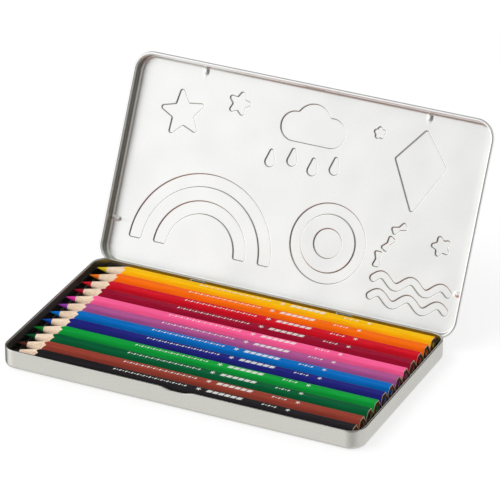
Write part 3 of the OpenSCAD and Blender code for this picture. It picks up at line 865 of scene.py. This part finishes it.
# %% Tinplate and steel finishes
def tinplate(name, tone, roughness, fleck, grain_depth, patchy, painted_shade_tone):
    """Satin metal of one tone, darkened towards a second tone as painted shade where points carry that
    mark.

    fleck: how far fine spots go below the tone. grain_depth: strength of the grain's bump. patchy: how
    far the roughness swings. Points marked matt are part lacquer, so they are less of a mirror.
    """
    material, tree, shader = finish_tree(name)
    grain = stretched_noise(tree, (60, 1500, 1500), 3.0)
    cloudy = stretched_noise(tree, (28, 28, 28), 2.0)
    speck = stretched_noise(tree, (1500, 1500, 1500), 3.0, rough=0.7)
    spots = spread(tree, weighed(tree, cloudy, 0.25, speck), 0.32, 0.66)
    clean = two_tones(tree, spots, [c * (1 - fleck) for c in tone], tone)
    # Points that carry the shade mark get painted shade: their colour goes towards the darker second tone.
    painted_shade, matt = (put(tree, "Attribute", out="Fac", attribute_name=mark) for mark in ("painted_shade", "matt"))
    mottled = spread(tree, weighed(tree, grain, 0.5, speck), 0.3, 0.7,
                     roughness - patchy, roughness + patchy)
    wavy = bumped(tree, stretched_noise(tree, (30, 45, 45), 1.0), 1.0, 0.0004)
    relief = bumped(tree, weighed(tree, grain, 0.45, speck), grain_depth, 0.00004, Normal=wavy)
    feed(shader, two_tones(tree, painted_shade, clean, painted_shade_tone), mottled, relief,
         math(tree, "MULTIPLY_ADD", matt, -0.5, 1.0))
    return material


# One tinplate in two tones: the base's darker tone is painted shade, and the lid's near-white tone is
# painted light. The second tone of each is painted shade for the marked points.
base_metal_painted_shade = tinplate("tinplate_satin_base_painted_shade", linear(216, 215, 208), roughness=0.31, fleck=0.17,
                      grain_depth=0.16, patchy=0.045, painted_shade_tone=linear(104, 98, 82))
lid_metal_painted_light = tinplate("tinplate_satin_lid_painted_light", linear(250, 250, 248), roughness=0.29, fleck=0.045,
                     grain_depth=0.03, patchy=0.02, painted_shade_tone=linear(172, 172, 159))
steel, tree, shader = finish_tree("steel_drawn_wire")
lines = stretched_noise(tree, (90, 4000, 4000), 4.0)
feed(shader, two_tones(tree, spread(tree, lines, 0.35, 0.65), linear(150, 150, 152), linear(205, 205, 206)),
     spread(tree, lines, 0.3, 0.7, 0.2, 0.34), bumped(tree, lines, 0.2, 0.00003))
shader.inputs["Metallic"].default_value = 1.0
for piece, metal in ((base_tin, base_metal_painted_shade), (lid_tin, lid_metal_painted_light), (hinge_pin, steel)):
    wear(piece, metal)
print("metal finishes:", base_metal_painted_shade.name, lid_metal_painted_light.name, steel.name)

# %% [markdown]
# ## Black moulded plastic
# The tray's sheet is dyed through and keeps the mould's gloss, with a soft orange-peel ripple and a
# little dust of pencil wood. Two noises do it: a broad one for the ripple and a fine one for dust,
# which makes the gloss uneven.

# %% Tray finish
tray_black, tree, shader = finish_tree("plastic_gloss_black")
ripple = stretched_noise(tree, (420, 420, 420), 1.0)
dust = stretched_noise(tree, (5200, 5200, 5200), 2.0)
dusty = spread(tree, dust, 0.62, 0.78)
feed(shader, two_tones(tree, math(tree, "MULTIPLY", dusty, 0.35), linear(20, 19, 20), linear(52, 48, 45)),
     math(tree, "ADD", spread(tree, ripple, 0.3, 0.7, 0.20, 0.28), math(tree, "MULTIPLY", dusty, 0.15)),
     bumped(tree, ripple, 0.12, 0.0003))
wear(tray, tray_black)
print("tray finish:", tray_black.name)

# %% [markdown]
# ## Bare wood
# The sharpened cone shows soft cedar-like wood: pale, with darker fibres along the pencil and faint
# rings left by the blade. The sawn end is darker: end grain takes up pigment, and its colour also
# holds painted shade for the narrow well in which the ends lie.
# The fibres are noise stretched along X, and the blade marks are a fine wave that only bends the
# surface.

# %% Wood finishes
def wood_finish(name, tones, fibre_scale):
    """Bare wood: fibres stretched by fibre_scale run through three tones, and blade marks bend it."""
    material, tree, shader = finish_tree(name)
    fibre = stretched_noise(tree, fibre_scale, 5.0, rough=0.6)
    broad = stretched_noise(tree, (40, 500, 500), 2.0)
    ramp_node = tree.nodes.new("ShaderNodeValToRGB")
    tree.links.new(weighed(tree, fibre, 0.65, broad), ramp_node.inputs[0])
    stops = ramp_node.color_ramp.elements
    stops.new(0.52)
    for element, place, colour in zip(stops, (0.34, 0.52, 0.68), tones):
        element.position, element.color = place, (*linear(*colour), 1)
    place = put(tree, "TexCoord", out="Object")
    blade = put(tree, "TexWave", {"Vector": place, "Scale": 900.0, "Distortion": 1.5, "Detail": 1.0}, out=1,
                wave_type="BANDS", bands_direction="X")
    marks = weighed(tree, blade, 0.35, fibre)
    feed(shader, ramp_node.outputs[0], normal=bumped(tree, marks, 0.35, 0.00008))
    shader.inputs["Roughness"].default_value = 0.62
    shader.inputs["Specular IOR Level"].default_value = 0.2
    return material


wood = wood_finish("wood_pale_cut", ((212, 180, 150), (240, 216, 190), (250, 234, 214)), (130, 2600, 2600))
# The sawn ends' dark tones are partly end grain and partly painted shade from the narrow well they face.
shaded_end_grain = wood_finish("wood_end_grain_and_painted_shade", ((74, 44, 30), (104, 68, 48), (140, 98, 70)), (900, 3200, 3200))
print("wood finishes:", wood.name, shaded_end_grain.name)

# %% [markdown]
# ## Foil print and lacquer
# Each pencil carries a white foil print on its top flat. Here it is a plain ornament: lozenges and
# dots by turns, a star, a row of leaning blocks and a second star. Every casing stores at each point
# how far it lies from the writing point and across the flat, in millimetres. The print is worked out
# from those two numbers with Math nodes, as distances to simple shapes, so it needs no picture.

# %% The print as a node group
def foil_group():
    """Node group: vector (along, across, on the flat) in, print mask out."""
    group = bpy.data.node_groups.new("foil_ornament", "ShaderNodeTree")
    group.interface.new_socket("Place", in_out="INPUT", socket_type="NodeSocketVector")
    group.interface.new_socket("Mask", in_out="OUTPUT", socket_type="NodeSocketFloat")
    start, stop = group.nodes.new("NodeGroupInput"), group.nodes.new("NodeGroupOutput")
    split = group.nodes.new("ShaderNodeSeparateXYZ")
    group.links.new(start.outputs[0], split.inputs[0])
    along, across, on_flat = split.outputs

    def m(op, *values):
        """One Math node in this group."""
        return math(group, op, *values)

    def inside(distance, softness=0.06):
        """1 where the distance is negative, 0 where it is positive, with a soft edge between."""
        return spread(group, distance, softness, -softness)

    def between(a, b):
        """1 from a to b along the pencil, as two soft steps multiplied."""
        return m("MULTIPLY", spread(group, along, a - 0.05, a + 0.05),
                 spread(group, along, b + 0.05, b - 0.05))

    def away(u):
        """sqrt(u * u + across * across)."""
        return m("SQRT", m("ADD", m("MULTIPLY", u, u), m("MULTIPLY", across, across)))

    def star_at(x, size):
        """Five-pointed star at x: its radius is size * (0.67 + 0.33 * cos(5 * angle))."""
        u = m("SUBTRACT", along, x)
        ray = m("COSINE", m("MULTIPLY", m("ARCTAN2", across, u), 5.0))
        return inside(m("SUBTRACT", away(u), m("MULTIPLY_ADD", ray, size * 0.33, size * 0.67)))

    def steps(start, pitch):
        """Pitches from start to a leaning place, and its distance from the middle of its own pitch."""
        step = m("DIVIDE", m("SUBTRACT", leaning, start), pitch)
        return step, m("MULTIPLY", m("SUBTRACT", m("FRACT", step), 0.5), pitch)

    leaning = m("MULTIPLY_ADD", across, -0.35, along)
    tall = m("ABSOLUTE", across)
    row, pitch = 54.0, 1.5
    step, cell = steps(row, pitch)
    kind = m("MODULO", m("FLOOR", step), 2.0)
    lozenge = m("SUBTRACT", m("MULTIPLY_ADD", tall, 0.66, m("ABSOLUTE", cell)), 0.58)
    dot = m("SUBTRACT", away(cell), 0.36)
    fine = 0.0
    for number, shape in enumerate((lozenge, dot)):
        fine = m("MAXIMUM", fine, m("MULTIPLY", m("COMPARE", kind, float(number), 0.4), inside(shape)))
    shown = m("ADD", between(row, row + 25 * pitch), between(row + 50 * pitch, row + 55 * pitch))
    fine = m("MULTIPLY", fine, shown)
    bar = m("SUBTRACT", m("ABSOLUTE", steps(101.5, 3.0)[1]), 1.2)
    bars = m("MULTIPLY", inside(m("MAXIMUM", bar, m("SUBTRACT", tall, 1.0))), between(101.5, 119.6))
    total = m("MAXIMUM", m("MAXIMUM", fine, bars), m("MAXIMUM", star_at(97.5, 1.3), star_at(142.0, 1.15)))
    group.links.new(m("MULTIPLY", total, on_flat), stop.inputs[0])
    return group


foil = foil_group()
print("foil group has", len(foil.nodes), "nodes")

# %% [markdown]
# ## Lacquer and coloured cores
# Lacquer goes on in several thin coats, so its colour is a little uneven along the pencil. Only the
# colour differs between the twelve, so one function makes them all. A core is pigment in wax: matt,
# and speckled. Colours are given as they look on a screen and turned into linear light.

# %% Lacquer and lead finishes
def lacquer(name, colour):
    """Glossy pencil lacquer in a screen colour, a little uneven, with the foil print over it."""
    material, tree, shader = finish_tree("lacquer_" + name)
    flow = stretched_noise(tree, (70, 900, 900), 2.0)
    base = linear(*colour)
    thin, thick = [c * 0.88 for c in base], [min(c * 1.06 + 0.002, 1) for c in base]
    stamp = tree.nodes.new("ShaderNodeGroup")
    stamp.node_tree = foil
    tree.links.new(put(tree, "Attribute", attribute_name="print_place", out="Vector"), stamp.inputs[0])
    rub = spread(tree, stretched_noise(tree, (2500, 2500, 2500), 2.0), 0.3, 0.55, 0.4, 0.88)
    mask = math(tree, "MULTIPLY", stamp.outputs[0], rub)
    skin = stretched_noise(tree, (700, 2200, 2200), 2.0)
    skin = math(tree, "ADD", skin, math(tree, "MULTIPLY", mask, 0.5))
    tint = two_tones(tree, spread(tree, flow, 0.3, 0.7), thin, thick)
    feed(shader, two_tones(tree, mask, tint, linear(236, 236, 232)),
         math(tree, "ADD", spread(tree, flow, 0.3, 0.7, 0.30, 0.38), math(tree, "MULTIPLY", mask, 0.1)),
         bumped(tree, skin, 0.1, 0.00008))
    shader.inputs["Specular IOR Level"].default_value = 0.05
    return material


def wax(name, colour):
    """Coloured core: waxy and matt, speckled with pigment."""
    material, tree, shader = finish_tree("core_" + name)
    speck = stretched_noise(tree, (3000, 3000, 3000), 3.0)
    base = linear(*colour)
    feed(shader, two_tones(tree, spread(tree, speck, 0.35, 0.65), [c * 0.72 for c in base], base),
         spread(tree, speck, 0.3, 0.7, 0.42, 0.58), bumped(tree, speck, 0.3, 0.0001))
    shader.inputs["Specular IOR Level"].default_value = 0.1
    return material


colours = {"yellow": ((255, 192, 6), (246, 212, 36)), "orange": ((255, 112, 8), (250, 126, 26)),
           "red": ((210, 14, 36), (215, 30, 45)), "crimson": ((152, 8, 46), (168, 16, 46)),
           "pink": ((255, 96, 152), (235, 60, 170)), "violet": ((174, 84, 144), (150, 60, 170)),
           "sky_blue": ((0, 106, 188), (0, 118, 208)), "dark_blue": ((30, 32, 122), (14, 76, 170)),
           "light_green": ((8, 156, 58), (16, 126, 46)), "dark_green": ((0, 92, 52), (6, 78, 42)),
           "brown": ((150, 62, 48), (82, 42, 32)), "black": ((34, 31, 34), (32, 30, 31))}
print(len(colours), "pencil colours")

# %% [markdown]
# ## Twelve pencils and their cores
# All casings share one grid, moved to its own groove. The print starts at a slightly different place
# on each, as it does when pencils are fed through a press. The core is turned: a small round point,
# the last stretch of the cone and a straight rod to the cut end, where it sits a hair below the wood.

# %% Casings and cores
dice = np.random.default_rng(12)
nose = arc((point_r * 0.92, 0), point_r * 0.98, 180, 100, 5)
core_line = np.vstack([nose, [
    [0.55, point_r + cone_slope * 0.5], [2.5, point_r + cone_slope * 2.45],
    [mouth - 0.3, point_r + cone_slope * (mouth - 0.33)], [(lead_r - point_r) / cone_slope, lead_r - 0.004],
    [mouth + 1.2, lead_r], [pencil_len - 0.2, lead_r], [pencil_len - 0.08, lead_r - 0.05],
    [pencil_len - 0.06, lead_r - 0.3], [pencil_len - 0.06, 0.0]]])
core_line[0, 1] = 0.0
core_points, core_faces = turned(core_line, 28)
for i, (name, (paint, pigment)) in enumerate(colours.items()):
    grid = casing_grid.reshape(-1, 3) + [0, centres[i], 0]
    casing = make_piece(f"casing_{name}", grid, casing_faces.tolist(), sharp=50)
    on_top = grid[:, 2] > row_z + 3.4
    mark_points(casing, "print_place", np.column_stack(
        [casing_x.ravel() + dice.uniform(-1.2, 1.2), grid[:, 1] - centres[i], on_top]), "FLOAT_VECTOR")
    wear(casing, lacquer(name, paint), wood, shaded_end_grain)
    casing.data.polygons.foreach_set("material_index", finish_of.astype(np.int32))
    settle(casing, name + "_pencil", name + "_casing", name + "_casing")
    core = make_piece(f"core_{name}", core_points + [tip_x, centres[i], row_z], core_faces, sharp=50)
    wear(core, wax(name, pigment))
    settle(core, name + "_pencil", name + "_lead", name + "_lead")

# %% [markdown]
# ## The floor
# The tin stands on a pale sheet of card that runs out of sight. For the camera alone the card also
# glows evenly, which keeps it pale right to the picture's edge and lights nothing.

# %% Pale floor
half_card, under = 6.0, -0.00005             # metres: half the card's side, and a hair below the tin
floor_mesh = bpy.data.meshes.new("floor_card")
floor_mesh.from_pydata([(x * half_card, y * half_card, under)
                        for x, y in ((-1, -1), (1, -1), (1, 1), (-1, 1))], [], [(0, 1, 2, 3)])
floor = bpy.data.objects.new("floor_card", floor_mesh)
bpy.context.scene.collection.objects.link(floor)
card = bpy.data.materials.new("card_white")
card.use_nodes = True
tree = card.node_tree
tree.nodes.clear()
fibres = stretched_noise(tree, (900, 900, 900), 3.0)
paper = put(tree, "BsdfDiffuse", {"Color": two_tones(tree, fibres, (0.88,) * 3, (0.91,) * 3)})
glow = put(tree, "Emission", {"Color": (1, 1, 1, 1), "Strength": 1.12})
seen = put(tree, "LightPath", out="Is Camera Ray")
shown = put(tree, "MixShader", {0: math(tree, "MULTIPLY", seen, 0.6), 1: paper, 2: glow})
tree.links.new(shown, tree.nodes.new("ShaderNodeOutputMaterial").inputs[0])
floor_mesh.materials.append(card)
floor.visible_glossy = False
print("floor:", card.name)

# %% [markdown]
# ## Light
# One broad soft lamp from the front left gives a gentle shadow, and the rest is even light from all
# round. Metal shows its surroundings, so for mirror rays only, the room has a bright side in front and
# darker patches beyond the table, overhead and beside the camera, as a real studio has. Each patch is
# a cone of directions: inside it the level is multiplied by 1 + change, and it fades out to its edge.

# %% Room light
world = bpy.data.worlds.new("studio_room")
bpy.context.scene.world = world
world.use_nodes = True
tree = world.node_tree
tree.nodes.clear()
direction = put(tree, "TexCoord", out="Generated")


def patch(towards, wide, narrow):
    """1 in the direction towards, fading to 0 at wide degrees away from it."""
    n = np.array(towards) / np.linalg.norm(towards)
    dot = put(tree, "VectorMath", {0: direction, 1: tuple(n)}, out="Value", operation="DOT_PRODUCT")
    edge, core = (float(np.cos(np.radians(angle))) for angle in (wide, narrow))
    return put(tree, "MapRange", {0: dot, 1: edge, 2: core}, interpolation_type="SMOOTHSTEP")


room_patches = (           # towards, wide, narrow, change
    ((-0.38, -0.82, 0.10), 75, 40, 0.835),       # the bright side, in front on the left
    ((0.42, -0.84, 0.34), 42, 24, -0.95),        # beside the camera, dark
    ((0.42, -0.84, 0.34), 70, 35, -0.47),        # and dimmer for some way round that
    ((-0.10, 0.85, 0.50), 60, 38, -0.97),        # beyond the table
    ((-0.75, 0.62, -0.15), 50, 25, -0.85),       # beyond it on the left, low down
    ((-0.20, 0.15, 0.97), 44, 16, -0.45),        # overhead
    ((-0.20, -0.80, -0.55), 50, 15, -0.35))      # in front, low down
level = 0.85
for towards, wide, narrow, change in room_patches:
    gain = math(tree, "MULTIPLY_ADD", patch(towards, wide, narrow), change, 1.0)
    level = math(tree, "MULTIPLY", level, gain)
mirror = put(tree, "LightPath", out="Is Glossy Ray")
camera_ray = put(tree, "LightPath", out="Is Camera Ray")
strength = put(tree, "Mix", {0: mirror, 2: 0.80, 3: level}, out=0)
strength = put(tree, "Mix", {0: camera_ray, 2: strength, 3: 1.0}, out=0)
sky = put(tree, "Background", {"Color": (1, 1, 1, 1), "Strength": strength})
tree.links.new(sky, tree.nodes.new("ShaderNodeOutputWorld").inputs[0])

lamp = bpy.data.lights.new("soft_key", "AREA")
lamp.shape, lamp.size, lamp.size_y, lamp.energy = "RECTANGLE", 1.2, 0.9, 8.2
key = bpy.data.objects.new("soft_key", lamp)
key.location = (-0.7, -0.55, 1.35)
key.visible_glossy = False
key.rotation_euler = (Vector((0, 0.02, 0.02)) - Vector(key.location)).to_track_quat("-Z", "Y").to_euler()
bpy.context.scene.collection.objects.link(key)
print("key lamp at", tuple(round(c, 2) for c in key.location))

# %% [markdown]
# ## Camera
# The camera looks down from the right at about 28 degrees, from nearly two metres away through a
# long lens, so that lengths shrink little with distance. The Standard view shows every colour as it
# is, with no film curve over it.

# %% Camera
azimuth, elevation, distance = np.radians(25.459), np.radians(28.131), 1.94066
aim = np.array([0.43, 26.77, 44.87]) * MM
back = np.array([np.sin(azimuth) * np.cos(elevation), -np.cos(azimuth) * np.cos(elevation),
                 np.sin(elevation)])
eye = bpy.data.cameras.new("eye")
eye.lens, eye.sensor_width, eye.clip_start, eye.clip_end = 301.8, 36.0, 0.1, 30.0
camera = bpy.data.objects.new("eye", eye)
camera.location = Vector(aim + back * distance)
camera.rotation_euler = Vector(back).to_track_quat("Z", "Y").to_euler()
bpy.context.scene.collection.objects.link(camera)
bpy.context.scene.camera = camera
bpy.context.scene.view_settings.view_transform = "Standard"
print("camera at", tuple(round(c, 2) for c in camera.location))
